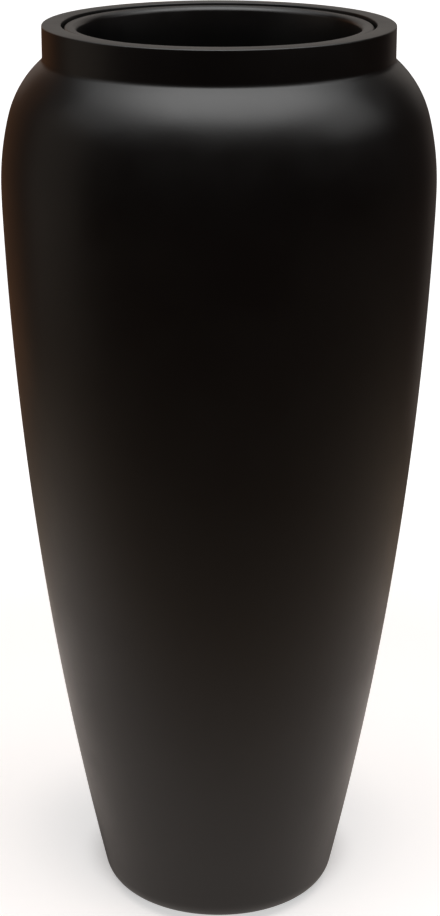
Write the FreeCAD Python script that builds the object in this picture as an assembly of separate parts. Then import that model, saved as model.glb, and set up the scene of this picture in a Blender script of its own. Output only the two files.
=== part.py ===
import FreeCAD, Part
import math
import os

# Tall vase-shaped floor planter with a lift-out liner.
# Millimetres, +Z up, origin on the floor under the middle of the foot.

# Outline of the body
HEIGHT = 1000.0             # floor to rim
COLLAR_DIAMETER = 373.0
COLLAR_HEIGHT = 37.0        # rim down to where the shoulder meets the collar
SHOULDER_DROP = 133.0       # from there down to the widest point
BELLY_DIAMETER = 466.0
UPPER_ARC_RATIO = 1.4       # flatter than a single arc from belly to collar by this factor
UPPER_ARC_SHARE = 0.56      # share of the shoulder's drop that this arc takes
LOWER_ARC_RADIUS = 800.0    # gentle turn from the belly into the flank
LOWER_ARC_TURN = 2.0        # degrees
FOOT_DIAMETER = 254.0       # where the flank would meet the foot plane
FOOT_EDGE_RADIUS = 31.0
NECK_FILLET = 8.0

# Laminate of the shell, its turned-in rim and its foot flange
SHELL_WALL = 5.0
RIM_WIDTH = 20.5
RIM_OUTER_ROUND = 1.5
RIM_INNER_ROUND = 1.2
REBATE_DEPTH = 15.0
LEDGE_WIDTH = 13.0
LEDGE_ROUND = 1.5
FOOT_OPENING = 156.0

# Liner pot
LINER_WALL = 3.0
LINER_SINK = 2.2            # liner rim below the collar rim
LINER_GAP = 2.5             # groove between the two rims
LINER_CLEARANCE = 3.5       # liner wall to the edge of the ledge
LINER_SKIRT_BEND = 1.0      # inside bend between crown and skirt
LINER_MOUTH_BEND = 3.5      # inside bend between crown and wall
LINER_LAND = 45.0           # straight stretch below the mouth
LINER_STEP = 3.0            # stacking step below the land
LINER_DEPTH = 280.0         # rim to inside floor
LINER_FLOOR_DIAMETER = 248.0
LINER_FLOOR_ROUND = 12.0
LINER_FOOT_INSET = 3.0      # foot ring inside the rounded floor edge
LINER_FOOT_WIDTH = 4.0
LINER_FOOT_HEIGHT = 10.0

# Drain plugs and their seats
DRAIN_DIAMETER = 30.0
PLUG_CLEARANCE = 0.3        # stem to hole, all round
PLUG_HEAD_OVERLAP = 7.0     # head beyond the hole, all round
PLUG_HEAD_THICKNESS = 3.5
PLUG_HEAD_ROUND = 1.2
PLUG_TAPER = 1.5            # narrower at the tip, all round
PLUG_TIP = 4.0              # tip below the seat's underside
PLUG_SKIN = 3.5             # rubber round the hollow stem
SEAT_CLEARANCE = 2.0        # head to the side of its recess
SEAT_DEPTH = 4.0
TAB_WIDTH = 18.0
TAB_THICKNESS = 5.0
TAB_HEIGHT = 15.0

# Base disc and foot pads
BASE_THICKNESS = 10.0
BASE_EDGE_ROUND = 2.0
BASE_CLEARANCE = 2.0        # disc to the rounded inside of the foot
PAD_COUNT = 4
PAD_DIAMETER = 20.0
PAD_THICKNESS = 3.0
PAD_ROUND = 0.8

# Levels and radii that several pieces share
FOOT_Z = PAD_THICKNESS
BELLY_Z = HEIGHT - COLLAR_HEIGHT - SHOULDER_DROP
LEDGE_Z = HEIGHT - REBATE_DEPTH
COLLAR_R = COLLAR_DIAMETER / 2
BELLY_R = BELLY_DIAMETER / 2
NARROWING = BELLY_R - COLLAR_R
UPPER_ARC_RADIUS = UPPER_ARC_RATIO * (NARROWING ** 2 + SHOULDER_DROP ** 2) / (2 * NARROWING)
UPPER_TURN = math.asin(UPPER_ARC_SHARE * SHOULDER_DROP / UPPER_ARC_RADIUS)
LOWER_TURN = math.radians(LOWER_ARC_TURN)
REBATE_R = COLLAR_R - RIM_WIDTH
LEDGE_R = REBATE_R - LEDGE_WIDTH
FOOT_OPENING_R = FOOT_OPENING / 2
DRAIN_R = DRAIN_DIAMETER / 2
PLUG_HEAD_R = DRAIN_R + PLUG_HEAD_OVERLAP
SEAT_R = PLUG_HEAD_R + SEAT_CLEARANCE
BASE_Z = FOOT_Z + SHELL_WALL
BASE_SEAT_Z = BASE_Z + BASE_THICKNESS - SEAT_DEPTH
LINER_TOP = HEIGHT - LINER_SINK
LINER_FLOOR_Z = LINER_TOP - LINER_DEPTH
LINER_SEAT_Z = LINER_FLOOR_Z - SEAT_DEPTH

UP = FreeCAD.Vector(0, 0, 1)
CENTRE = FreeCAD.Vector(0, 0, 0)


def spot(r, z):
    """A point of the half section, at radius r and height z."""
    return FreeCAD.Vector(r, 0, z)


def on_circle(centre, radius, angle):
    """The point of a section circle at an angle from the outward direction, in radians."""
    return spot(centre[0] + radius * math.cos(angle), centre[1] + radius * math.sin(angle))


def arc(centre, radius, start, end):
    """An arc of the section between two angles."""
    middle = on_circle(centre, radius, (start + end) / 2)
    return Part.Arc(on_circle(centre, radius, start), middle, on_circle(centre, radius, end)).toShape()


def rounded_path(corners):
    """Straight edges through (r, z) corners. A third number rounds that corner."""
    edges = []
    start = spot(*corners[0][:2])
    for before, corner, after in zip(corners, corners[1:], corners[2:]):
        tip = spot(*corner[:2])
        end = tip
        if len(corner) == 3:
            back = (spot(*before[:2]) - tip).normalize()
            ahead = (spot(*after[:2]) - tip).normalize()
            half = back.getAngle(ahead) / 2
            reach = corner[2] / math.tan(half)
            inward = (back + ahead).normalize()
            middle = tip + inward * (corner[2] / math.sin(half) - corner[2])
            end = tip + ahead * reach
            edges.append(Part.makeLine(start, tip + back * reach))
            edges.append(Part.Arc(tip + back * reach, middle, end).toShape())
        else:
            edges.append(Part.makeLine(start, tip))
        start = end
    edges.append(Part.makeLine(start, spot(*corners[-1][:2])))
    return edges


def turned(edges):
    """The solid that a closed half section sweeps round the planter's axis."""
    wire = Part.Wire(Part.sortEdges(edges)[0])
    return Part.Face(wire).revolve(CENTRE, UP, 360)


def belly_centre(radius):
    """Centre of an arc of that radius that is upright at the belly."""
    return (BELLY_R - radius, BELLY_Z)


def circle_beyond(radius, turn, goal):
    """Circle that leaves a belly arc of that radius smoothly after its turn and passes through a goal."""
    outward = spot(math.cos(turn), math.sin(turn))
    start = on_circle(belly_centre(radius), radius, turn)
    to_goal = goal - start
    reach = to_goal.dot(to_goal) / (-2 * to_goal.dot(outward))
    centre = start - outward * reach
    return (centre.x, centre.z), reach


def shoulder_circle():
    """Circle of the upper shoulder, which reaches the foot of the collar."""
    return circle_beyond(UPPER_ARC_RADIUS, UPPER_TURN, spot(COLLAR_R, HEIGHT - COLLAR_HEIGHT))


def flank_circle():
    """Circle of the flank, which reaches the foot's diameter."""
    return circle_beyond(LOWER_ARC_RADIUS, -LOWER_TURN, spot(FOOT_DIAMETER / 2, FOOT_Z))


def neck_circle():
    """Circle of the fillet between shoulder and collar, and its angle seen from the shoulder's centre."""
    (shoulder_r, shoulder_z), radius = shoulder_circle()
    centre_r = COLLAR_R + NECK_FILLET
    rise = math.sqrt((radius + NECK_FILLET) ** 2 - (centre_r - shoulder_r) ** 2)
    return (centre_r, shoulder_z + rise), math.atan2(rise, centre_r - shoulder_r)


def foot_circle():
    """Circle of the rounded foot edge, and its angle seen from the flank's centre."""
    (flank_r, flank_z), radius = flank_circle()
    drop = FOOT_Z + FOOT_EDGE_RADIUS - flank_z
    reach = math.sqrt((radius - FOOT_EDGE_RADIUS) ** 2 - drop ** 2)
    return (flank_r + reach, FOOT_Z + FOOT_EDGE_RADIUS), math.atan2(drop, reach)


def body_side(inset):
    """Arcs of the body from the foot up to the collar, a wall's thickness further in by inset."""
    shoulder, shoulder_radius = shoulder_circle()
    neck, neck_angle = neck_circle()
    flank, flank_radius = flank_circle()
    foot, foot_angle = foot_circle()
    return [
        arc(foot, FOOT_EDGE_RADIUS - inset, -math.pi / 2, foot_angle),
        arc(flank, flank_radius - inset, foot_angle, -LOWER_TURN),
        arc(belly_centre(LOWER_ARC_RADIUS), LOWER_ARC_RADIUS - inset, -LOWER_TURN, 0),
        arc(belly_centre(UPPER_ARC_RADIUS), UPPER_ARC_RADIUS - inset, 0, UPPER_TURN),
        arc(shoulder, shoulder_radius - inset, UPPER_TURN, neck_angle),
        arc(neck, NECK_FILLET + inset, math.pi + neck_angle, math.pi),
    ]


def outer_shell():
    """Vase body of even thickness, turned in at the rim for the liner and at the foot for the base."""
    neck_z = neck_circle()[0][1]
    foot_r = foot_circle()[0][0]
    rim = rounded_path([
        (COLLAR_R, neck_z),
        (COLLAR_R, HEIGHT, RIM_OUTER_ROUND),
        (REBATE_R, HEIGHT, RIM_INNER_ROUND),
        (REBATE_R, LEDGE_Z),
        (LEDGE_R, LEDGE_Z, LEDGE_ROUND),
        (LEDGE_R, LEDGE_Z - SHELL_WALL),
        (REBATE_R + SHELL_WALL, LEDGE_Z - SHELL_WALL),
        (REBATE_R + SHELL_WALL, HEIGHT - SHELL_WALL),
        (COLLAR_R - SHELL_WALL, HEIGHT - SHELL_WALL),
        (COLLAR_R - SHELL_WALL, neck_z),
    ])
    flange = rounded_path([
        (foot_r, FOOT_Z + SHELL_WALL),
        (FOOT_OPENING_R, FOOT_Z + SHELL_WALL),
        (FOOT_OPENING_R, FOOT_Z),
        (foot_r, FOOT_Z),
    ])
    return turned(body_side(0) + rim + body_side(SHELL_WALL) + flange)


def liner():
    """Lift-out pot: rolled rim that stands on the ledge, stacking step, drafted wall, plug seat, foot ring."""
    rim_r = REBATE_R - LINER_GAP
    land_r = LEDGE_R - LINER_CLEARANCE
    mouth_r = land_r - LINER_WALL
    mouth_round = LINER_MOUTH_BEND + LINER_WALL
    land_z = LINER_TOP - mouth_round - LINER_LAND
    floor_r = LINER_FLOOR_DIAMETER / 2
    under_z = LINER_FLOOR_Z - LINER_WALL
    ring_r = floor_r - LINER_FLOOR_ROUND - LINER_FOOT_INSET
    ring_z = under_z - LINER_FOOT_HEIGHT
    return turned(rounded_path([
        (DRAIN_R, LINER_SEAT_Z),
        (SEAT_R, LINER_SEAT_Z),
        (SEAT_R, LINER_FLOOR_Z),
        (floor_r, LINER_FLOOR_Z, LINER_FLOOR_ROUND),
        (mouth_r - LINER_STEP, land_z - LINER_STEP),
        (mouth_r, land_z),
        (mouth_r, LINER_TOP, mouth_round),
        (rim_r, LINER_TOP, LINER_SKIRT_BEND + LINER_WALL),
        (rim_r, LEDGE_Z),
        (rim_r - LINER_WALL, LEDGE_Z),
        (rim_r - LINER_WALL, LINER_TOP - LINER_WALL, LINER_SKIRT_BEND),
        (land_r, LINER_TOP - LINER_WALL, LINER_MOUTH_BEND),
        (land_r, land_z),
        (land_r - LINER_STEP, land_z - LINER_STEP),
        (floor_r + LINER_WALL, under_z, LINER_FLOOR_ROUND + LINER_WALL),
        (ring_r, under_z),
        (ring_r, ring_z),
        (ring_r - LINER_FOOT_WIDTH, ring_z),
        (ring_r - LINER_FOOT_WIDTH, under_z),
        (SEAT_R + LINER_WALL, under_z),
        (SEAT_R + LINER_WALL, LINER_SEAT_Z - LINER_WALL),
        (DRAIN_R, LINER_SEAT_Z - LINER_WALL),
        (DRAIN_R, LINER_SEAT_Z),
    ]))


def base_disc():
    """Floor of the shell, bonded on the foot flange, with a recessed seat for its plug."""
    disc_r = foot_circle()[0][0] - BASE_CLEARANCE
    top = BASE_Z + BASE_THICKNESS
    return turned(rounded_path([
        (DRAIN_R, BASE_SEAT_Z),
        (SEAT_R, BASE_SEAT_Z),
        (SEAT_R, top),
        (disc_r, top, BASE_EDGE_ROUND),
        (disc_r, BASE_Z),
        (DRAIN_R, BASE_Z),
        (DRAIN_R, BASE_SEAT_Z),
    ]))


def pull_tab(foot_z):
    """Finger tab with a round top that stands on a plug's head."""
    half = TAB_WIDTH / 2
    crown_z = foot_z + TAB_HEIGHT - half
    outline = [
        Part.makeLine(spot(-half, foot_z), spot(half, foot_z)),
        Part.makeLine(spot(half, foot_z), spot(half, crown_z)),
        arc((0, crown_z), half, 0, math.pi),
        Part.makeLine(spot(-half, crown_z), spot(-half, foot_z)),
    ]
    tab = Part.Face(Part.Wire(outline)).extrude(FreeCAD.Vector(0, TAB_THICKNESS, 0))
    tab.translate(FreeCAD.Vector(0, -TAB_THICKNESS / 2, 0))
    return tab


def drain_plug(seat_z, under_z):
    """Rubber plug whose head lies on a seat and whose hollow stem goes through to just below it."""
    stem_r = DRAIN_R - PLUG_CLEARANCE
    tip_r = stem_r - PLUG_TAPER
    tip_z = under_z - PLUG_TIP
    head_z = seat_z + PLUG_HEAD_THICKNESS
    body = turned(rounded_path([
        (0, head_z),
        (PLUG_HEAD_R, head_z, PLUG_HEAD_ROUND),
        (PLUG_HEAD_R, seat_z),
        (stem_r, seat_z),
        (stem_r, under_z),
        (tip_r, tip_z),
        (tip_r - PLUG_SKIN, tip_z),
        (tip_r - PLUG_SKIN, seat_z),
        (0, seat_z),
        (0, head_z),
    ]))
    return body.fuse(pull_tab(head_z)).removeSplitter()


def foot_pads():
    """Round pads on the middle of the foot flange, evenly spaced."""
    ring_r = (FOOT_OPENING_R + foot_circle()[0][0]) / 2
    pads = []
    for number in range(PAD_COUNT):
        angle = 2 * math.pi * (number + 0.5) / PAD_COUNT
        pad = turned(rounded_path([
            (0, PAD_THICKNESS),
            (PAD_DIAMETER / 2, PAD_THICKNESS),
            (PAD_DIAMETER / 2, 0, PAD_ROUND),
            (0, 0),
            (0, PAD_THICKNESS),
        ]))
        pad.translate(FreeCAD.Vector(ring_r * math.cos(angle), ring_r * math.sin(angle), 0))
        pads.append(pad)
    return pads


def pieces():
    """Every piece of the planter by its name."""
    named = {
        "outer_shell": outer_shell(),
        "liner": liner(),
        "liner_drain_plug": drain_plug(LINER_SEAT_Z, LINER_SEAT_Z - LINER_WALL),
        "base_disc": base_disc(),
        "base_drain_plug": drain_plug(BASE_SEAT_Z, BASE_Z),
    }
    for number, pad in enumerate(foot_pads(), 1):
        named[f"foot_pad_{number}"] = pad
    return named


os.makedirs("parts", exist_ok=True)
for name, shape in pieces().items():
    shape.exportStep(f"parts/{name}.step")
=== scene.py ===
"""Tall vase-shaped floor planter with a lift-out liner: its surfaces, finishes, studio and camera."""

import math

import bmesh
import bpy
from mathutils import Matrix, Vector


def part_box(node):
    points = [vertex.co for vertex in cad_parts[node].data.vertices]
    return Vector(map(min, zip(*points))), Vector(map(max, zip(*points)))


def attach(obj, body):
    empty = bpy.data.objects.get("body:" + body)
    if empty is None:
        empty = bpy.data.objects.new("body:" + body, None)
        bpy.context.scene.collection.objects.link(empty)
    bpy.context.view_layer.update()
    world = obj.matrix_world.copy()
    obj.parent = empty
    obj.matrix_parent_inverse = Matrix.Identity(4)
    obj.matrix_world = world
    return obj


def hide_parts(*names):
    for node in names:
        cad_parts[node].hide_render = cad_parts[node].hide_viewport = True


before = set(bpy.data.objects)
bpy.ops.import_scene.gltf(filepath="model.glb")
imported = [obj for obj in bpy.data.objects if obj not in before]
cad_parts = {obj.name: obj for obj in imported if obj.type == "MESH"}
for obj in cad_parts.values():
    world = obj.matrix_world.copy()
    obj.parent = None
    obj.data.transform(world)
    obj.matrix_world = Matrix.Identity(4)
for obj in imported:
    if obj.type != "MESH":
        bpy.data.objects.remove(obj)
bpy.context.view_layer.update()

bl_info = {
    "name": "Vase Planter",
    "version": (1, 0, 0),
    "blender": (4, 5, 0),
    "location": "3D View > Sidebar > Planter",
    "description": "Builds a satin black vase planter with its liner, finishes and studio",
    "category": "Add Mesh",
}

SHELL_LOW, SHELL_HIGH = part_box("outer_shell")
LINER_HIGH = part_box("liner")[1]
PAD_NODES = sorted(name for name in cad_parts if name.startswith("foot_pad_"))
PLUG_NODES = ("liner_drain_plug", "base_drain_plug")

# Points nearer than this are one point, in metres
SAME_POINT = 1e-5

# Edges that turn by more than this are shaded sharp
SHARP_TURN = math.radians(35)

# Places of the colour sockets on a Mix node
MIX_BELOW, MIX_ABOVE, MIX_RESULT = 6, 7, 2

# How far a rubbed edge goes towards its lighter colour, and how much roughness dust adds
RUBBED_SHARE = 0.5
DUST_ROUGHNESS = 0.4

# Layers of glass strands: turn of the first, turn from each to the next, and how narrow the strands are
STRAND_LAYERS = 3
FIRST_TURN = Vector((0.5, 0.3, 0.0))
NEXT_TURN = Vector((1.1, 0.7, 2.1))
STRAND_STRETCH = (1.0, 14.0, 14.0)

WHITE = (1.0, 1.0, 1.0)

# Share of its width times its height that a lamp's face fills
LAMP_FILL = {"ELLIPSE": math.pi / 4, "RECTANGLE": 1.0}

# The studio's lamps, by the word that the names of their values start with
OVERHEAD_LAMPS = {"key": "ELLIPSE", "wide": "RECTANGLE"}
CARDS = ("left", "right", "brown", "rear", "back")


# Sizes and colours that a user would change


def length(name, description, default):
    """A property for a length in metres."""
    return bpy.props.FloatProperty(
        name=name, description=description, default=default, precision=4, unit="LENGTH"
    )


def angle(name, description, default):
    """A property for an angle in radians."""
    return bpy.props.FloatProperty(
        name=name, description=description, default=default, precision=3, subtype="ANGLE"
    )


def share(name, description, default):
    """A property for a value from 0 to 1."""
    return bpy.props.FloatProperty(
        name=name, description=description, default=default, min=0.0, max=1.0, subtype="FACTOR"
    )


def number(name, description, default):
    """A property for a plain number that isn't below 0."""
    return bpy.props.FloatProperty(name=name, description=description, default=default, min=0.0)


def colour(name, description, default):
    """A property for a linear colour."""
    return bpy.props.FloatVectorProperty(
        name=name, description=description, default=default, size=3, min=0.0, max=1.0, subtype="COLOR"
    )


def spot(name, description, default):
    """A property for a place in the planter's frame."""
    return bpy.props.FloatVectorProperty(
        name=name, description=description, default=default, size=3, subtype="TRANSLATION"
    )


def count(name, description, default):
    """A property for a whole number."""
    return bpy.props.IntProperty(name=name, description=description, default=default, min=3)


class PlanterShellSizes(bpy.types.PropertyGroup):
    """Sizes of the vase body and its turned-in rim."""

    rim_height: length("Rim Height", "Floor to the top of the collar", SHELL_HIGH.z)
    foot_height: length("Foot Height", "Floor to the underside of the shell", SHELL_LOW.z)
    belly_diameter: length("Belly Diameter", "Across the widest point", SHELL_HIGH.x * 2)
    collar_diameter: length("Collar Diameter", "Across the upright collar", 0.373)
    collar_height: length("Collar Height", "Rim down to where the shoulder meets the collar", 0.037)
    shoulder_drop: length("Shoulder Drop", "From there down to the widest point", 0.133)
    upper_arc_ratio: number("Upper Arc Ratio", "Flatter than a single arc by this factor", 1.4)
    upper_arc_share: share("Upper Arc Share", "Share of the shoulder's drop that this arc takes", 0.56)
    lower_arc_radius: length("Lower Arc", "Radius of the gentle turn below the belly", 0.8)
    lower_arc_turn: angle("Lower Turn", "Angle of that turn", math.radians(2.0))
    foot_diameter: length("Foot Diameter", "Where the flank would meet the foot plane", 0.254)
    foot_edge_radius: length("Foot Edge", "Radius of the rounded foot edge", 0.031)
    foot_opening: length("Foot Opening", "Across the opening that the base disc closes", 0.156)
    neck_fillet: length("Neck Fillet", "Radius between shoulder and collar", 0.008)
    wall: length("Wall", "Thickness of the laminate", 0.005)
    rim_width: length("Rim Width", "Flat top of the collar", 0.0205)
    rim_outer_round: length("Rim Outer Round", "Rounding of the collar's outer edge", 0.0015)
    rim_inner_round: length("Rim Inner Round", "Rounding of the rebate's upper edge", 0.0012)
    rebate_depth: length("Rebate Depth", "Rim down to the ledge", 0.015)
    ledge_width: length("Ledge Width", "Ledge on which the liner stands", 0.013)
    ledge_round: length("Ledge Round", "Rounding of the ledge's edge", 0.0015)
    edge_break: length("Edge Break", "Small rounding of the foot opening's edge", 0.0008)
    segments: count("Segments", "Faces round the body", 256)


class PlanterLinerSizes(bpy.types.PropertyGroup):
    """Sizes of the lift-out pot."""

    top: length("Rim Height", "Floor to the top of the rolled rim", LINER_HIGH.z)
    rim_diameter: length("Rim Diameter", "Across the rolled rim", LINER_HIGH.x * 2)
    wall: length("Wall", "Thickness of the moulding", 0.003)
    skirt: length("Skirt", "Rim down to the foot of the skirt", 0.0128)
    skirt_round: length("Skirt Round", "Rounding from the rim down to the skirt", 0.004)
    mouth_diameter: length("Mouth Diameter", "Across the straight land below the mouth", 0.293)
    mouth_round: length("Mouth Round", "Rounding from the rim into the mouth", 0.0065)
    flare: length("Flare", "How far the mouth widens above the land", 0.0035)
    flare_depth: length("Flare Depth", "Rim down to where the mouth starts to widen", 0.030)
    land_depth: length("Land Depth", "Rim down to the lower end of the land", 0.0515)
    step: length("Step", "Stacking step below the land", 0.003)
    depth: length("Depth", "Rim down to the inside floor", 0.280)
    floor_diameter: length("Floor Diameter", "Inside, where wall and floor would meet", 0.248)
    floor_round: length("Floor Round", "Inside rounding between wall and floor", 0.012)
    seat_diameter: length("Seat Diameter", "Across the recess for the plug's head", 0.048)
    seat_depth: length("Seat Depth", "Depth of that recess", 0.004)
    drain_diameter: length("Drain Diameter", "Across the drain hole", 0.030)
    foot_ring_diameter: length("Foot Ring Diameter", "Across the ring under the floor", 0.218)
    foot_ring_width: length("Foot Ring Width", "Thickness of the ring", 0.004)
    foot_ring_height: length("Foot Ring Height", "Height of the ring", 0.010)
    segments: count("Segments", "Faces round the liner", 224)


class PlanterFinishes(bpy.types.PropertyGroup):
    """Colours and gloss of the planter's materials."""

    lacquer: colour("Lacquer", "Satin black outside of the shell", (0.0012, 0.0011, 0.0010))
    lacquer_roughness: share("Lacquer Roughness", "Mean roughness of the lacquer", 0.34)
    plastic: colour("Plastic", "Black plastic of the liner", (0.0018, 0.0017, 0.0016))
    plastic_roughness: share("Plastic Roughness", "Mean roughness of the liner", 0.32)
    laminate: colour("Laminate", "Raw dark laminate inside", (0.030, 0.029, 0.028))
    strand: colour("Strand", "Glass strands that show through the laminate", (0.075, 0.074, 0.070))
    plug_rubber: colour("Plug Rubber", "Black rubber of the drain plugs", (0.022, 0.022, 0.021))
    pad_rubber: colour("Pad Rubber", "Dark rubber of the foot pads", (0.028, 0.028, 0.028))
    dust: colour("Dust", "Fine pale dust", (0.32, 0.30, 0.28))


class PlanterStudio(bpy.types.PropertyGroup):
    """Floor, screens, light and camera."""

    camera_distance: length("Camera Distance", "Along the floor from the planter's axis", 2.4)
    camera_height: length("Camera Height", "Above the floor", 1.3322)
    camera_pitch: angle("Camera Pitch", "Downward tilt", 0.3271)
    camera_roll: angle("Camera Roll", "Turn about the line of sight", -0.001)
    focal_length: bpy.props.FloatProperty(
        name="Focal Length", description="On a 36 mm long side", default=89.09, subtype="DISTANCE_CAMERA"
    )
    shift: bpy.props.FloatProperty(
        name="Shift", description="Sideways shift of the frame", default=0.0006, precision=4
    )
    floor_radius: length("Floor Radius", "Reach of the pale floor", 14.0)
    floor: colour("Floor", "Pale floor", (0.80, 0.755, 0.735))
    floor_lift: share("Floor Lift", "Added to the near floor where it is seen as background", 0.60)
    near_floor: length("Near Floor", "Round the planter, where the floor keeps its shadow", 0.7)
    far_floor: length("Far Floor", "Beyond this the floor is plain background", 1.6)
    # Round the foot the floor's glow is left out, which paints a darker shadow there, its middle behind
    # the axis
    contact_back: length("Contact Back", "Middle of the dark shadow at the foot, behind the axis", 0.06)
    contact_inner: length("Contact Inner", "Reach of its darkest part", 0.09)
    contact_outer: length("Contact Outer", "Reach of its edge", 0.17)
    pale_share: share("Pale Share", "Share of the floor that shows through the gauze by the foot", 0.71)
    pale_half_width: length("Pale Half Width", "Where the gauze hides half of it, to the sides", 1.05)
    pale_half_depth: length("Pale Half Depth", "Where the gauze hides half of it, to front and back", 0.73)
    pale_fade: number("Pale Fade", "How sharply the gauze thickens there", 3.8)
    pale_middle: spot("Pale Middle", "Middle of the pale patch on the floor", (-0.11, 0.16, 0.0))
    thin_gauze: colour("Thin Gauze", "Tint of the floor seen through thin gauze", (1.0, 0.93, 0.88))
    thick_gauze: colour("Thick Gauze", "Tint of the floor seen through thick gauze", (1.0, 0.80, 0.60))
    thin_reach: number("Thin Reach", "Where the gauze starts to thicken, in pale half widths", 0.5)
    thick_reach: number("Thick Reach", "Where the gauze is at its thickest, in pale half widths", 1.4)
    # Dense gauze by the foot: a painted shadow in the floor's reflection, centred behind the axis
    shade_middle: spot("Shade Middle", "Middle of the dense gauze by the foot", (-0.012, 0.12, 0.0))
    shade_inner: length("Shade Inner", "Reach of its densest part", 0.12)
    shade_outer: length("Shade Outer", "Reach of its edge", 0.27)
    cloth_opening: length("Cloth Opening", "Radius of the hole in the cloth round the foot", 0.101)
    cloth_height: length("Cloth Height", "Cloth above the floor", 0.002)
    screen_radius: length("Screen Radius", "Floor radius of the dark screens all round", 3.5)
    screen_height: length("Screen Height", "Height of the dark screens", 4.2)
    screen: colour("Screen", "Dark brown cloth of the screens", (0.065, 0.042, 0.036))
    room_level: number("Room Level", "Plain light from all round", 0.25)
    key_middle: spot("Key Middle", "Middle of the oval overhead lamp", (0.2, -1.1, 4.4))
    key_level: number("Key Level", "Brightness of the oval overhead lamp", 2.3)
    key_width: length("Key Width", "Oval overhead lamp from left to right", 5.4)
    key_depth: length("Key Depth", "Oval overhead lamp from front to back", 3.9)
    wide_middle: spot("Wide Middle", "Middle of the wide overhead lamp", (-0.03, -0.52, 2.5))
    wide_level: number("Wide Level", "Brightness of the wide overhead lamp", 0.66)
    wide_width: length("Wide Width", "Wide overhead lamp from left to right", 6.6)
    wide_depth: length("Wide Depth", "Wide overhead lamp from front to back", 1.82)
    left_turn: angle("Left Turn", "Left card, from the camera's side of the axis", math.radians(-92))
    left_away: length("Left Away", "Left card from the planter's axis", 2.4)
    left_width: length("Left Width", "Width of the left card", 1.7)
    left_low: length("Left Low", "Lower edge of the left card", 0.0)
    left_height: length("Left Height", "Height of the left card", 2.2)
    left_level: number("Left Level", "Brightness of the left card", 0.20)
    left_tone: colour("Left Tone", "Colour of the left card", (1.0, 0.86, 0.72))
    right_turn: angle("Right Turn", "Right card, from the camera's side of the axis", math.radians(82))
    right_away: length("Right Away", "Right card from the planter's axis", 2.4)
    right_width: length("Right Width", "Width of the right card", 1.7)
    right_low: length("Right Low", "Lower edge of the right card", 1.7)
    right_height: length("Right Height", "Height of the right card", 2.2)
    right_level: number("Right Level", "Brightness of the right card", 0.7)
    right_tone: colour("Right Tone", "Colour of the right card", (1.0, 1.0, 1.0))
    brown_turn: angle("Brown Turn", "Brown card, from the camera's side of the axis", math.radians(-142))
    brown_away: length("Brown Away", "Brown card from the planter's axis", 1.6)
    brown_width: length("Brown Width", "Width of the brown card", 1.13)
    brown_low: length("Brown Low", "Lower edge of the brown card", 0.0)
    brown_height: length("Brown Height", "Height of the brown card", 1.73)
    brown_level: number("Brown Level", "Brightness of the brown card", 0.12)
    brown_tone: colour("Brown Tone", "Colour of the brown card", (1.0, 0.42, 0.16))
    rear_turn: angle("Rear Turn", "Right rear card, from the camera's side of the axis", math.radians(152))
    rear_away: length("Rear Away", "Right rear card from the planter's axis", 1.6)
    rear_width: length("Rear Width", "Width of the right rear card", 0.8)
    rear_low: length("Rear Low", "Lower edge of the right rear card", 0.0)
    rear_height: length("Rear Height", "Height of the right rear card", 0.88)
    rear_level: number("Rear Level", "Brightness of the right rear card", 0.12)
    rear_tone: colour("Rear Tone", "Colour of the right rear card", (1.0, 0.86, 0.76))
    back_turn: angle("Back Turn", "Back card, from the camera's side of the axis", math.radians(176))
    back_away: length("Back Away", "Back card from the planter's axis", 2.4)
    back_width: length("Back Width", "Width of the back card", 3.2)
    back_low: length("Back Low", "Lower edge of the back card", 0.9)
    back_height: length("Back Height", "Height of the back card", 2.2)
    back_level: number("Back Level", "Brightness of the back card", 0.30)
    back_tone: colour("Back Tone", "Colour of the back card", (1.0, 0.93, 0.86))


# Mesh tools


class SectionPen:
    """Draws the half section of a turned piece, as a chain of edges at radius X and height Z."""

    def __init__(self, bm, radius, height):
        self.bm = bm
        self.tip = bm.verts.new((radius, 0.0, height))

    def line(self, radius, height):
        """A straight edge to a new point."""
        self.tip = bmesh.ops.extrude_vert_indiv(self.bm, verts=[self.tip])["verts"][0]
        self.tip.co = (radius, 0.0, height)

    def arc(self, centre, turn, steps):
        """An arc round a centre, by a turn that is positive from outwards to upwards."""
        swept = bmesh.ops.spin(
            self.bm, geom=[self.tip], cent=(centre.x, 0.0, centre.y), axis=(0, -1, 0),
            angle=turn, steps=steps,
        )
        self.tip = next(item for item in swept["geom_last"] if isinstance(item, bmesh.types.BMVert))


def turn_section(bm, segments):
    """Turns the drawn section once round the planter's axis and points its faces outwards."""
    bmesh.ops.spin(
        bm, geom=bm.verts[:] + bm.edges[:], cent=(0, 0, 0), axis=(0, 0, 1),
        angle=2 * math.pi, steps=segments, use_merge=True,
    )
    bmesh.ops.remove_doubles(bm, verts=bm.verts, dist=SAME_POINT)
    bmesh.ops.recalc_face_normals(bm, faces=bm.faces)


def on_ring(vert, radius, height):
    """Whether a point lies on the ring at that radius and height."""
    return abs(vert.co.to_2d().length - radius) < SAME_POINT and abs(vert.co.z - height) < SAME_POINT


def round_ring(bm, radius, height, rounding, steps):
    """Rounds the ring of edges at that radius and height."""
    ring = [edge for edge in bm.edges if all(on_ring(vert, radius, height) for vert in edge.verts)]
    if not ring:
        raise RuntimeError(f"no ring of edges at radius {radius:.4f} and height {height:.4f}")
    reach = rounding * math.tan(ring[0].calc_face_angle() / 2)
    bmesh.ops.bevel(
        bm, geom=ring, offset=reach, offset_type="OFFSET", affect="EDGES",
        segments=steps, profile=0.5, material=-1, clamp_overlap=False,
    )


def new_object(bm, name, materials):
    """Makes a bmesh a smooth-shaded object at the origin."""
    mesh = bpy.data.meshes.new(name)
    bm.to_mesh(mesh)
    bm.free()
    mesh.shade_smooth()
    mesh.set_sharp_from_angle(angle=SHARP_TURN)
    for material in materials:
        mesh.materials.append(material)
    made = bpy.data.objects.new(name, mesh)
    bpy.context.scene.collection.objects.link(made)
    return made


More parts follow.
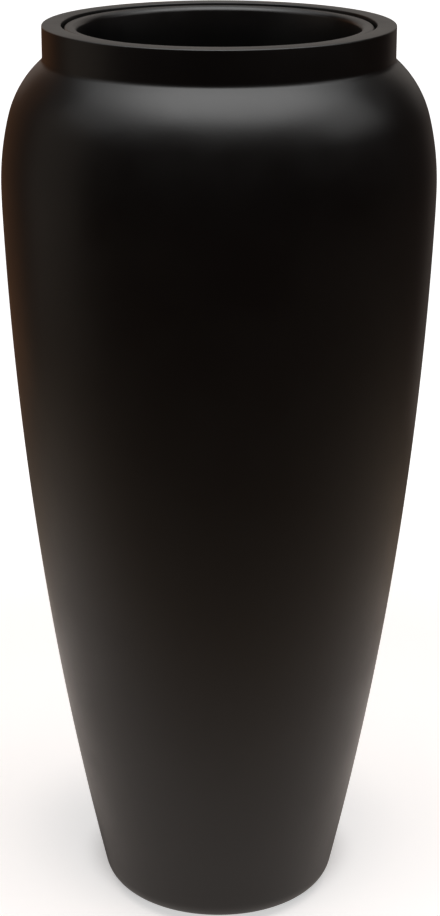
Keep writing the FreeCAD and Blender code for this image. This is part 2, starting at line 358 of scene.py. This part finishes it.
def finished_piece(bm, name, body, node, materials):
    """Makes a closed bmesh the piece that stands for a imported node."""
    if any(not edge.is_manifold for edge in bm.edges):
        raise RuntimeError(f"{name} is not closed")
    piece = new_object(bm, name, materials)
    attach(piece, body)
    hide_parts(node)


def dress(nodes, material):
    """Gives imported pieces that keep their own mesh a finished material."""
    for node in nodes:
        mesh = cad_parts[node].data
        mesh.materials.clear()
        mesh.materials.append(material)


# Node tools


def place(tree, kind, inputs=None, **settings):
    """Adds a node. Its settings are its own options, and its inputs are values or sockets."""
    node = tree.nodes.new(kind)
    for name, value in settings.items():
        setattr(node, name, value)
    for key, value in (inputs or {}).items():
        if isinstance(value, bpy.types.NodeSocket):
            tree.links.new(value, node.inputs[key])
        else:
            node.inputs[key].default_value = value
    return node


def sums(tree, operation, *values):
    """The result of a Math node."""
    return place(tree, "ShaderNodeMath", dict(enumerate(values)), operation=operation).outputs[0]


def vectors(tree, operation, *values):
    """The results of a Vector Math node."""
    return place(tree, "ShaderNodeVectorMath", dict(enumerate(values)), operation=operation).outputs


def upright_part(tree, vector):
    """The Z part of a vector."""
    return place(tree, "ShaderNodeSeparateXYZ", {0: vector}).outputs["Z"]


def spread(tree, value, low=0.0, high=1.0, to_low=0.0, to_high=1.0):
    """A value carried smoothly from one range to another and kept within it."""
    limits = {"Value": value, "From Min": low, "From Max": high, "To Min": to_low, "To Max": to_high}
    return place(tree, "ShaderNodeMapRange", limits, interpolation_type="SMOOTHSTEP").outputs["Result"]


def noise(tree, vector, scale, detail, roughness):
    """The value of a noise texture."""
    settings = {"Vector": vector, "Scale": scale, "Detail": detail, "Roughness": roughness}
    return place(tree, "ShaderNodeTexNoise", settings).outputs["Fac"]


def opaque(tone):
    """A colour with full alpha, as colour sockets take it."""
    return (*tone, 1.0)


def tint(tree, mask, below, above):
    """A colour between two, by a mask."""
    ends = [end if isinstance(end, bpy.types.NodeSocket) else opaque(end) for end in (below, above)]
    inputs = {"Factor": mask, MIX_BELOW: ends[0], MIX_ABOVE: ends[1]}
    return place(tree, "ShaderNodeMix", inputs, data_type="RGBA").outputs[MIX_RESULT]


def object_point(tree):
    """Object coordinates, which keep a pattern still on a piece."""
    return place(tree, "ShaderNodeTexCoord").outputs["Object"]


def measured_from(tree, point, middle):
    """A point measured from a middle of its own."""
    return vectors(tree, "SUBTRACT", point, middle)["Vector"]


def axis_distance(tree, point):
    """How far a point is from the upright axis."""
    flat = vectors(tree, "MULTIPLY", point, (1.0, 1.0, 0.0))["Vector"]
    return vectors(tree, "LENGTH", flat)["Value"]


def new_group(name, inputs, outputs):
    """A shader node group with named values going in and coming out, with its two end nodes."""
    group = bpy.data.node_groups.new(name, "ShaderNodeTree")
    for label, default in inputs.items():
        socket = group.interface.new_socket(label, in_out="INPUT", socket_type="NodeSocketFloat")
        socket.default_value = default
    for label in outputs:
        group.interface.new_socket(label, in_out="OUTPUT", socket_type="NodeSocketFloat")
    return group, place(group, "NodeGroupInput").outputs, place(group, "NodeGroupOutput").inputs


# Effects that several materials share


def surface_grain(name):
    """Fine relief of a moulded or sprayed surface, and a slow mottle."""
    given_values = {"Grain Scale": 400.0, "Mottle Scale": 6.0}
    group, given, result = new_group(name, given_values, ("Height", "Mottle"))
    point = object_point(group)
    grain = noise(group, point, given["Grain Scale"], detail=3.0, roughness=0.55)
    group.links.new(grain, result["Height"])
    mottle = noise(group, point, given["Mottle Scale"], detail=5.0, roughness=0.6)
    group.links.new(spread(group, mottle, low=0.3, high=0.7), result["Mottle"])
    return group


def settled_dust(name):
    """A thin film on faces that look up, and a few single specks."""
    given_values = {"Film": 0.05, "Speck Scale": 60.0, "Speck Size": 0.04, "Speck Share": 0.05}
    group, given, result = new_group(name, given_values, ("Mask",))
    point = object_point(group)
    normal = place(group, "ShaderNodeNewGeometry").outputs["Normal"]
    upward = spread(group, upright_part(group, normal), low=0.1)
    drift = noise(group, point, scale=18.0, detail=6.0, roughness=0.65)
    patches = spread(group, drift, low=0.35, high=0.75)
    film = sums(group, "MULTIPLY", sums(group, "MULTIPLY", upward, patches), given["Film"])
    cells = place(group, "ShaderNodeTexVoronoi", {"Vector": point, "Scale": given["Speck Scale"]}).outputs
    near = sums(group, "LESS_THAN", cells["Distance"], given["Speck Size"])
    drawn = place(group, "ShaderNodeSeparateColor", {0: cells["Color"]}).outputs["Red"]
    specks = sums(group, "MULTIPLY", near, sums(group, "LESS_THAN", drawn, given["Speck Share"]))
    group.links.new(sums(group, "MAXIMUM", film, specks), result["Mask"])
    return group


def edge_wear(name):
    """Broken rubbing along a round edge of given radius and height."""
    given_values = {"Edge Radius": 0.18, "Edge Height": 1.0, "Reach": 0.004}
    group, given, result = new_group(name, given_values, ("Mask",))
    point = object_point(group)
    aside = sums(group, "SUBTRACT", axis_distance(group, point), given["Edge Radius"])
    above = sums(group, "SUBTRACT", upright_part(group, point), given["Edge Height"])
    offset = place(group, "ShaderNodeCombineXYZ", {"X": aside, "Z": above}).outputs[0]
    away = vectors(group, "LENGTH", offset)["Value"]
    near = spread(group, sums(group, "DIVIDE", away, given["Reach"]), to_low=1.0, to_high=0.0)
    scratches = noise(group, point, scale=90.0, detail=5.0, roughness=0.7)
    broken = spread(group, scratches, low=0.42, high=0.68)
    group.links.new(sums(group, "MULTIPLY", near, broken), result["Mask"])
    return group


def glass_strands(name):
    """Chopped strands lying in several directions, as they show in a laminate."""
    group, given, result = new_group(name, {"Strand Scale": 30.0}, ("Mask",))
    point = object_point(group)
    mask = 0.0
    for layer in range(STRAND_LAYERS):
        turn = FIRST_TURN + layer * NEXT_TURN
        settings = {"Vector": point, "Rotation": turn, "Scale": STRAND_STRETCH}
        turned = place(group, "ShaderNodeMapping", settings).outputs["Vector"]
        streaks = noise(group, turned, given["Strand Scale"], detail=2.0, roughness=0.5)
        mask = sums(group, "MAXIMUM", mask, spread(group, streaks, low=0.58, high=0.72))
    group.links.new(mask, result["Mask"])
    return group


# Materials


def title(name):
    """A Python name as words."""
    return name.replace("_", " ").title()


def effect(tree, maker, **values):
    """Places a shared effect in a material with its own values, and makes its group the first time."""
    name = title(maker.__name__)
    group = bpy.data.node_groups.get(name) or maker(name)
    node = place(tree, "ShaderNodeGroup", node_tree=group)
    for key, value in values.items():
        node.inputs[title(key)].default_value = value
    return node.outputs


def new_material(name):
    """A new material, with its tree and its Principled shader."""
    material = bpy.data.materials.new(name)
    material.use_nodes = True
    return material, material.node_tree, material.node_tree.nodes["Principled BSDF"]


def bare_material(name):
    """A new material with an empty tree."""
    material = bpy.data.materials.new(name)
    material.use_nodes = True
    material.node_tree.nodes.clear()
    return material, material.node_tree


def relief(tree, shader, height, strength, depth):
    """Bumps the normal of a shader by a height."""
    bump = place(tree, "ShaderNodeBump", {"Height": height, "Strength": strength, "Distance": depth})
    tree.links.new(bump.outputs["Normal"], shader.inputs["Normal"])


def times(tone, factor):
    """A colour made lighter or darker."""
    return tuple(part * factor for part in tone)


def shell_lacquer(finish, sizes):
    """Sprayed satin black with a slight orange peel, a few dust specks and a rubbed collar edge."""
    material, tree, shader = new_material("shell_lacquer")
    grain = effect(tree, surface_grain, grain_scale=330.0, mottle_scale=7.0)
    dust = effect(tree, settled_dust, film=0.012, speck_scale=34.0, speck_size=0.018, speck_share=0.04)
    wear = effect(
        tree, edge_wear, edge_radius=sizes.collar_diameter / 2, edge_height=sizes.rim_height, reach=0.005
    )
    coat = tint(tree, grain["Mottle"], times(finish.lacquer, 0.85), times(finish.lacquer, 1.15))
    worn = sums(tree, "MULTIPLY", wear["Mask"], RUBBED_SHARE)
    rubbed = tint(tree, worn, coat, times(finish.lacquer, 4.0))
    tree.links.new(tint(tree, dust["Mask"], rubbed, finish.dust), shader.inputs["Base Color"])
    mean = finish.lacquer_roughness
    gloss = spread(tree, grain["Mottle"], to_low=mean - 0.03, to_high=mean + 0.03)
    dulled = sums(tree, "ADD", gloss, sums(tree, "MULTIPLY", dust["Mask"], DUST_ROUGHNESS))
    tree.links.new(dulled, shader.inputs["Roughness"])
    relief(tree, shader, grain["Height"], strength=0.12, depth=0.0004)
    return material


def raw_laminate(name, finish):
    """Dark resin with chopped glass strands, rough as it leaves the mould."""
    material, tree, shader = new_material(name)
    grain = effect(tree, surface_grain, grain_scale=160.0, mottle_scale=12.0)
    strands = effect(tree, glass_strands, strand_scale=26.0)
    resin = tint(tree, grain["Mottle"], times(finish.laminate, 0.7), times(finish.laminate, 1.3))
    tree.links.new(tint(tree, strands["Mask"], resin, finish.strand), shader.inputs["Base Color"])
    tree.links.new(spread(tree, grain["Mottle"], to_low=0.55, to_high=0.75), shader.inputs["Roughness"])
    height = sums(tree, "ADD", strands["Mask"], grain["Height"])
    relief(tree, shader, height, strength=0.5, depth=0.0006)
    return material


def liner_plastic(finish, sizes):
    """Moulded black plastic with a fine grain, rubbed along the rolled rim."""
    material, tree, shader = new_material("liner_plastic")
    grain = effect(tree, surface_grain, grain_scale=700.0, mottle_scale=9.0)
    dust = effect(tree, settled_dust, film=0.02, speck_scale=50.0, speck_size=0.02, speck_share=0.05)
    wear = effect(tree, edge_wear, edge_radius=sizes.rim_diameter / 2, edge_height=sizes.top, reach=0.004)
    base = tint(tree, grain["Mottle"], times(finish.plastic, 0.85), times(finish.plastic, 1.2))
    worn = sums(tree, "MULTIPLY", wear["Mask"], RUBBED_SHARE)
    rubbed = tint(tree, worn, base, times(finish.plastic, 3.0))
    tree.links.new(tint(tree, dust["Mask"], rubbed, finish.dust), shader.inputs["Base Color"])
    mean = finish.plastic_roughness
    gloss = spread(tree, grain["Mottle"], to_low=mean - 0.04, to_high=mean + 0.05)
    dulled = sums(tree, "ADD", gloss, sums(tree, "MULTIPLY", dust["Mask"], DUST_ROUGHNESS))
    tree.links.new(dulled, shader.inputs["Roughness"])
    relief(tree, shader, grain["Height"], strength=0.18, depth=0.0003)
    return material


def rubber(name, tone, finish):
    """Matt rubber with a soft bloom and a little dust."""
    material, tree, shader = new_material(name)
    grain = effect(tree, surface_grain, grain_scale=900.0, mottle_scale=45.0)
    dust = effect(tree, settled_dust, film=0.05, speck_scale=160.0, speck_size=0.05, speck_share=0.06)
    bloom = tint(tree, grain["Mottle"], times(tone, 0.8), times(tone, 1.4))
    tree.links.new(tint(tree, dust["Mask"], bloom, finish.dust), shader.inputs["Base Color"])
    tree.links.new(spread(tree, grain["Mottle"], to_low=0.62, to_high=0.8), shader.inputs["Roughness"])
    relief(tree, shader, grain["Height"], strength=0.3, depth=0.0003)
    return material


# Pieces


def circle_beyond(arc_centre, radius, turn, goal):
    """Circle that leaves an arc smoothly after its turn and passes through a goal."""
    outward = Vector((math.cos(turn), math.sin(turn)))
    start = arc_centre + outward * radius
    to_goal = goal - start
    reach = to_goal.length_squared / (-2 * to_goal.dot(outward))
    return start - outward * reach, reach


def rim_section(sizes):
    """Radius of the collar, of the rebate and of the ledge's edge, and the height of the ledge."""
    collar_r = sizes.collar_diameter / 2
    rebate_r = collar_r - sizes.rim_width
    return collar_r, rebate_r, rebate_r - sizes.ledge_width, sizes.rim_height - sizes.rebate_depth


def shell_skin(bm, sizes):
    """Draws the outside of the vase from the foot opening up over the rim to the edge of the ledge."""
    collar_r, rebate_r, ledge_r, ledge_z = rim_section(sizes)
    belly_r = sizes.belly_diameter / 2
    belly_z = sizes.rim_height - sizes.collar_height - sizes.shoulder_drop

    # Arcs above and below the belly, both upright at the widest point
    narrowing = belly_r - collar_r
    plain_radius = (narrowing ** 2 + sizes.shoulder_drop ** 2) / (2 * narrowing)
    upper_radius = sizes.upper_arc_ratio * plain_radius
    upper_turn = math.asin(sizes.upper_arc_share * sizes.shoulder_drop / upper_radius)
    upper = Vector((belly_r - upper_radius, belly_z))
    lower_turn = sizes.lower_arc_turn
    lower = Vector((belly_r - sizes.lower_arc_radius, belly_z))

    # Shoulder and flank go on from them, to the collar and to the foot
    collar_foot = Vector((collar_r, sizes.rim_height - sizes.collar_height))
    shoulder, shoulder_radius = circle_beyond(upper, upper_radius, upper_turn, collar_foot)
    foot_corner = Vector((sizes.foot_diameter / 2, sizes.foot_height))
    flank, flank_radius = circle_beyond(lower, sizes.lower_arc_radius, -lower_turn, foot_corner)

    # Neck: a small fillet that touches the shoulder and the collar
    neck_reach = collar_r + sizes.neck_fillet - shoulder.x
    neck_rise = math.sqrt((shoulder_radius + sizes.neck_fillet) ** 2 - neck_reach ** 2)
    neck = shoulder + Vector((neck_reach, neck_rise))
    neck_angle = math.atan2(neck_rise, neck_reach)

    # Foot edge: it touches the flank and the foot plane
    foot_drop = sizes.foot_height + sizes.foot_edge_radius - flank.y
    foot_reach = math.sqrt((flank_radius - sizes.foot_edge_radius) ** 2 - foot_drop ** 2)
    foot = flank + Vector((foot_reach, foot_drop))
    foot_angle = math.atan2(foot_drop, foot_reach)

    pen = SectionPen(bm, sizes.foot_opening / 2, sizes.foot_height)
    pen.line(foot.x, sizes.foot_height)
    pen.arc(foot, foot_angle + math.pi / 2, steps=12)
    pen.arc(flank, -lower_turn - foot_angle, steps=56)
    pen.arc(lower, lower_turn, steps=3)
    pen.arc(upper, upper_turn, steps=12)
    pen.arc(shoulder, neck_angle - upper_turn, steps=18)
    pen.arc(neck, -neck_angle, steps=8)
    pen.line(collar_r, sizes.rim_height)
    pen.line(rebate_r, sizes.rim_height)
    pen.line(rebate_r, ledge_z)
    pen.line(ledge_r, ledge_z)


class PLANTER_OT_shell(bpy.types.Operator):
    """Model the vase body with its collar, turned-in rim and foot flange"""

    bl_idname = "planter.shell"
    bl_label = "Vase Shell"

    def execute(self, context):
        sizes = context.scene.planter_shell
        finish = context.scene.planter_finishes
        bm = bmesh.new()
        shell_skin(bm, sizes)
        turn_section(bm, sizes.segments)
        outside = bm.faces[:]
        bmesh.ops.solidify(bm, geom=outside, thickness=sizes.wall)

        # The first material is the lacquer outside, the second the laminate inside
        materials = [shell_lacquer(finish, sizes), raw_laminate("shell_laminate", finish)]
        lacquered = set(outside)
        for face in bm.faces:
            face.material_index = 0 if face in lacquered else 1

        collar_r, rebate_r, ledge_r, ledge_z = rim_section(sizes)
        round_ring(bm, collar_r, sizes.rim_height, sizes.rim_outer_round, steps=6)
        round_ring(bm, rebate_r, sizes.rim_height, sizes.rim_inner_round, steps=5)
        round_ring(bm, ledge_r, ledge_z, sizes.ledge_round, steps=4)
        round_ring(bm, sizes.foot_opening / 2, sizes.foot_height, sizes.edge_break, steps=3)
        finished_piece(bm, "vase_shell", "shell", "outer_shell", materials)
        return {"FINISHED"}


def liner_skin(bm, sizes):
    """Draws the inside of the pot from the drain hole up over the rolled rim to the foot of its skirt."""
    floor_z = sizes.top - sizes.depth
    seat_z = floor_z - sizes.seat_depth
    mouth_r = sizes.mouth_diameter / 2
    land_z = sizes.top - sizes.land_depth
    ring_r = sizes.foot_ring_diameter / 2
    pen = SectionPen(bm, sizes.drain_diameter / 2, seat_z)
    pen.line(sizes.seat_diameter / 2, seat_z)
    pen.line(sizes.seat_diameter / 2, floor_z)
    pen.line(ring_r - sizes.foot_ring_width, floor_z)
    pen.line(ring_r, floor_z)
    pen.line(sizes.floor_diameter / 2, floor_z)
    pen.line(mouth_r - sizes.step, land_z - sizes.step)
    pen.line(mouth_r, land_z)
    pen.line(mouth_r, sizes.top - sizes.flare_depth)
    pen.line(mouth_r + sizes.flare, sizes.top)
    pen.line(sizes.rim_diameter / 2, sizes.top)
    pen.line(sizes.rim_diameter / 2, sizes.top - sizes.skirt)


def grow_foot_ring(bm, sizes):
    """Draws the ring under the liner's floor down from its underside."""
    under_z = sizes.top - sizes.depth - sizes.wall
    outer_r = sizes.foot_ring_diameter / 2
    inner_r = outer_r - sizes.foot_ring_width
    underside = []
    for face in bm.faces:
        middle = face.calc_center_median()
        if abs(middle.z - under_z) < SAME_POINT and inner_r < middle.to_2d().length < outer_r:
            underside.append(face)
    grown = bmesh.ops.extrude_face_region(bm, geom=underside)["geom"]
    points = [item for item in grown if isinstance(item, bmesh.types.BMVert)]
    bmesh.ops.translate(bm, verts=points, vec=(0, 0, -sizes.foot_ring_height))
    bmesh.ops.delete(bm, geom=underside, context="FACES")


class PLANTER_OT_liner(bpy.types.Operator):
    """Model the lift-out pot with its rolled rim, stacking step, plug seat and foot ring"""

    bl_idname = "planter.liner"
    bl_label = "Liner Pot"

    def execute(self, context):
        sizes = context.scene.planter_liner
        finish = context.scene.planter_finishes
        bm = bmesh.new()
        liner_skin(bm, sizes)
        turn_section(bm, sizes.segments)
        round_ring(bm, sizes.floor_diameter / 2, sizes.top - sizes.depth, sizes.floor_round, steps=8)
        round_ring(bm, sizes.mouth_diameter / 2 + sizes.flare, sizes.top, sizes.mouth_round, steps=10)
        round_ring(bm, sizes.rim_diameter / 2, sizes.top, sizes.skirt_round, steps=6)
        bmesh.ops.solidify(bm, geom=bm.faces[:], thickness=sizes.wall)
        grow_foot_ring(bm, sizes)
        finished_piece(bm, "liner_pot", "liner", "liner", [liner_plastic(finish, sizes)])
        return {"FINISHED"}


class PLANTER_OT_base_disc(bpy.types.Operator):
    """Finish the disc that closes the foot of the shell"""

    bl_idname = "planter.base_disc"
    bl_label = "Base Disc"

    def execute(self, context):
        dress(["base_disc"], raw_laminate("base_laminate", context.scene.planter_finishes))
        return {"FINISHED"}


class PLANTER_OT_drain_plugs(bpy.types.Operator):
    """Finish the rubber plugs of the liner and the base disc"""

    bl_idname = "planter.drain_plugs"
    bl_label = "Drain Plugs"

    def execute(self, context):
        finish = context.scene.planter_finishes
        dress(PLUG_NODES, rubber("plug_rubber", finish.plug_rubber, finish))
        return {"FINISHED"}


class PLANTER_OT_foot_pads(bpy.types.Operator):
    """Finish the rubber pads under the foot"""

    bl_idname = "planter.foot_pads"
    bl_label = "Foot Pads"

    def execute(self, context):
        finish = context.scene.planter_finishes
        dress(PAD_NODES, rubber("pad_rubber", finish.pad_rubber, finish))
        return {"FINISHED"}


# Stage


def seen_as_background(tree):
    """1 for rays that look at the background, straight or by a reflection or through glass."""
    path = place(tree, "ShaderNodeLightPath").outputs
    mirrored = sums(tree, "MAXIMUM", path["Is Glossy Ray"], path["Is Transmission Ray"])
    return sums(tree, "MAXIMUM", path["Is Camera Ray"], mirrored)


def white_room(studio):
    """World that is white as background and a plain soft light otherwise."""
    world = bpy.data.worlds.new("white_room")
    world.use_nodes = True
    tree = world.node_tree
    strength = spread(tree, seen_as_background(tree), to_low=studio.room_level)
    background = tree.nodes["Background"]
    background.inputs["Color"].default_value = opaque(WHITE)
    tree.links.new(strength, background.inputs["Strength"])
    return world


def floor_finish(studio):
    """Pale floor that keeps the planter's shadow, with a painted shadow round the foot where its glow is
    left out, and turns to plain white further off.
    """
    material, tree = bare_material("studio_floor")
    point = object_point(tree)
    away = axis_distance(tree, point)
    lift = spread(tree, away, studio.near_floor, studio.far_floor, to_low=studio.floor_lift)
    # Painted shadow: the glow fades out round the foot, centred behind the axis, so the floor is darker
    # there to the camera and in reflections
    from_painted_shadow = axis_distance(tree, measured_from(tree, point, (0.0, studio.contact_back, 0.0)))
    clear_of_painted_shadow = spread(tree, from_painted_shadow, studio.contact_inner, studio.contact_outer)
    glow = sums(tree, "MULTIPLY", sums(tree, "MULTIPLY", lift, clear_of_painted_shadow), seen_as_background(tree))
    bright = place(tree, "ShaderNodeEmission", {"Strength": glow}).outputs[0]
    matt = place(tree, "ShaderNodeBsdfDiffuse", {"Color": opaque(studio.floor)}).outputs[0]
    top = place(tree, "ShaderNodeAddShader", {0: matt, 1: bright}).outputs[0]
    below = place(tree, "ShaderNodeNewGeometry").outputs["Backfacing"]
    clear = place(tree, "ShaderNodeBsdfTransparent").outputs[0]
    both = place(tree, "ShaderNodeMixShader", {0: below, 1: top, 2: clear}).outputs[0]
    place(tree, "ShaderNodeOutputMaterial", {"Surface": both})
    return material


def pale_reach(tree, studio):
    """How far a point is from the middle of the pale patch, 1 where the gauze hides half of the floor."""
    aside = measured_from(tree, object_point(tree), studio.pale_middle)
    half = (studio.pale_half_width, studio.pale_half_depth, studio.screen_radius)
    scaled = vectors(tree, "DIVIDE", aside, half)["Vector"]
    return vectors(tree, "LENGTH", scaled)["Value"]


def pale_patch(tree, studio, reach):
    """How much of the floor shows through the gauze: most round the foot, less and less further off, and
    less again right by the foot, where denser gauze paints a shadow into the floor's reflection.
    """
    fade = sums(tree, "ADD", sums(tree, "POWER", reach, studio.pale_fade), 1.0)
    # Painted shade: the gauze is thicker right by the foot, so the floor's reflection darkens there
    from_painted_shade = axis_distance(tree, measured_from(tree, object_point(tree), studio.shade_middle))
    shown_past_painted_shade = spread(tree, from_painted_shade, studio.shade_inner, studio.shade_outer, to_high=studio.pale_share)
    return sums(tree, "DIVIDE", shown_past_painted_shade, fade)


def screen_cloth(studio):
    """Dark brown cloth that thins to gauze towards the planter's foot, and thickens again right by the
    foot as a painted shadow in the floor's reflection.
    """
    material, tree = bare_material("screen_cloth")
    reach = pale_reach(tree, studio)
    thickness = spread(tree, reach, studio.thin_reach, studio.thick_reach)
    gauze = tint(tree, thickness, studio.thin_gauze, studio.thick_gauze)
    cloth = place(tree, "ShaderNodeBsdfDiffuse", {"Color": opaque(studio.screen)}).outputs[0]
    clear = place(tree, "ShaderNodeBsdfTransparent", {"Color": gauze}).outputs[0]
    patch = pale_patch(tree, studio, reach)
    mixed = place(tree, "ShaderNodeMixShader", {0: patch, 1: cloth, 2: clear}).outputs[0]
    place(tree, "ShaderNodeOutputMaterial", {"Surface": mixed})
    return material


def studio_floor(studio):
    """Round pale floor."""
    bm = bmesh.new()
    bmesh.ops.create_circle(bm, cap_ends=True, segments=96, radius=studio.floor_radius)
    new_object(bm, "studio_floor", [floor_finish(studio)])


def studio_screens(studio):
    """Dark cloth on the floor and on screens all round, out of the camera's sight."""
    bend = studio.screen_radius / 4
    bend_r = studio.screen_radius - bend
    bm = bmesh.new()
    pen = SectionPen(bm, studio.cloth_opening, studio.cloth_height)
    pen.line(bend_r, studio.cloth_height)
    pen.arc(Vector((bend_r, studio.cloth_height + bend)), math.pi / 2, steps=8)
    pen.line(studio.screen_radius, studio.screen_height)
    turn_section(bm, segments=64)
    screens = new_object(bm, "studio_screens", [screen_cloth(studio)])
    screens.visible_camera = False
    screens.visible_shadow = False


def setting(studio, lamp, what):
    """One of a lamp's own values in the studio."""
    return getattr(studio, f"{lamp}_{what}")


def add_lamp(studio, name, shape, size_y, tone):
    """Adds an area lamp whose face is as bright as its level says, out of the camera's sight."""
    width = setting(studio, name, "width")
    data = bpy.data.lights.new(name + "_lamp", "AREA")
    data.shape = shape
    data.size = width
    data.size_y = size_y
    data.energy = setting(studio, name, "level") * math.pi * LAMP_FILL[shape] * width * size_y
    data.color = tone
    lamp = bpy.data.objects.new(data.name, data)
    lamp.visible_camera = False
    bpy.context.scene.collection.objects.link(lamp)
    return lamp


def overhead_lamp(studio, name, shape):
    """Large flat lamp over the planter and in front of it, facing down."""
    lamp = add_lamp(studio, name, shape, setting(studio, name, "depth"), WHITE)
    lamp.location = setting(studio, name, "middle")


def card(studio, name):
    """Dim upright card on one side, which faces the planter."""
    turn = setting(studio, name, "turn")
    away = setting(studio, name, "away")
    height = setting(studio, name, "height")
    middle_z = setting(studio, name, "low") + height / 2
    lamp = add_lamp(studio, name, "RECTANGLE", height, setting(studio, name, "tone"))
    lamp.location = (away * math.sin(turn), -away * math.cos(turn), middle_z)
    lamp.rotation_euler = (math.pi / 2, 0.0, turn)


def photo_camera(studio):
    """Camera in front of the planter, looking down at it."""
    data = bpy.data.cameras.new("camera")
    data.lens = studio.focal_length
    data.shift_x = studio.shift
    data.clip_end = studio.floor_radius * 4
    camera = bpy.data.objects.new("camera", data)
    camera.location = (0.0, -studio.camera_distance, studio.camera_height)
    camera.rotation_euler = (math.pi / 2 - studio.camera_pitch, studio.camera_roll, 0.0)
    bpy.context.scene.collection.objects.link(camera)
    bpy.context.scene.camera = camera


class PLANTER_OT_stage(bpy.types.Operator):
    """Set up the floor, screens, light and camera"""

    bl_idname = "planter.stage"
    bl_label = "Studio"

    def execute(self, context):
        studio = context.scene.planter_studio
        context.scene.world = white_room(studio)
        context.scene.view_settings.view_transform = "Standard"
        studio_floor(studio)
        studio_screens(studio)
        for name, shape in OVERHEAD_LAMPS.items():
            overhead_lamp(studio, name, shape)
        for name in CARDS:
            card(studio, name)
        photo_camera(studio)
        return {"FINISHED"}


class PLANTER_PT_panel(bpy.types.Panel):
    """Lists the planter's operators, sizes and colours"""

    bl_idname = "PLANTER_PT_panel"
    bl_label = "Vase Planter"
    bl_space_type = "VIEW_3D"
    bl_region_type = "UI"
    bl_category = "Planter"

    def draw(self, context):
        for operator in PIECE_OPERATORS + (PLANTER_OT_stage,):
            self.layout.operator(operator.bl_idname)
        for owner in PROPERTY_GROUPS:
            group = getattr(context.scene, owner)
            box = self.layout.box()
            for name in group.bl_rna.properties.keys():
                if name not in {"rna_type", "name"}:
                    box.prop(group, name)


PROPERTY_GROUPS = {
    "planter_shell": PlanterShellSizes,
    "planter_liner": PlanterLinerSizes,
    "planter_finishes": PlanterFinishes,
    "planter_studio": PlanterStudio,
}
PIECE_OPERATORS = (
    PLANTER_OT_shell,
    PLANTER_OT_liner,
    PLANTER_OT_base_disc,
    PLANTER_OT_drain_plugs,
    PLANTER_OT_foot_pads,
)
CLASSES = (*PROPERTY_GROUPS.values(), *PIECE_OPERATORS, PLANTER_OT_stage, PLANTER_PT_panel)


def register():
    for item in CLASSES:
        bpy.utils.register_class(item)
    for owner, group in PROPERTY_GROUPS.items():
        setattr(bpy.types.Scene, owner, bpy.props.PointerProperty(type=group))


def unregister():
    for owner in PROPERTY_GROUPS:
        delattr(bpy.types.Scene, owner)
    for item in reversed(CLASSES):
        bpy.utils.unregister_class(item)


def main():
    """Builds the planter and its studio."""
    register()
    bpy.ops.planter.shell()
    bpy.ops.planter.liner()
    bpy.ops.planter.base_disc()
    bpy.ops.planter.drain_plugs()
    bpy.ops.planter.foot_pads()
    bpy.ops.planter.stage()


if __name__ == "__main__":
    main()
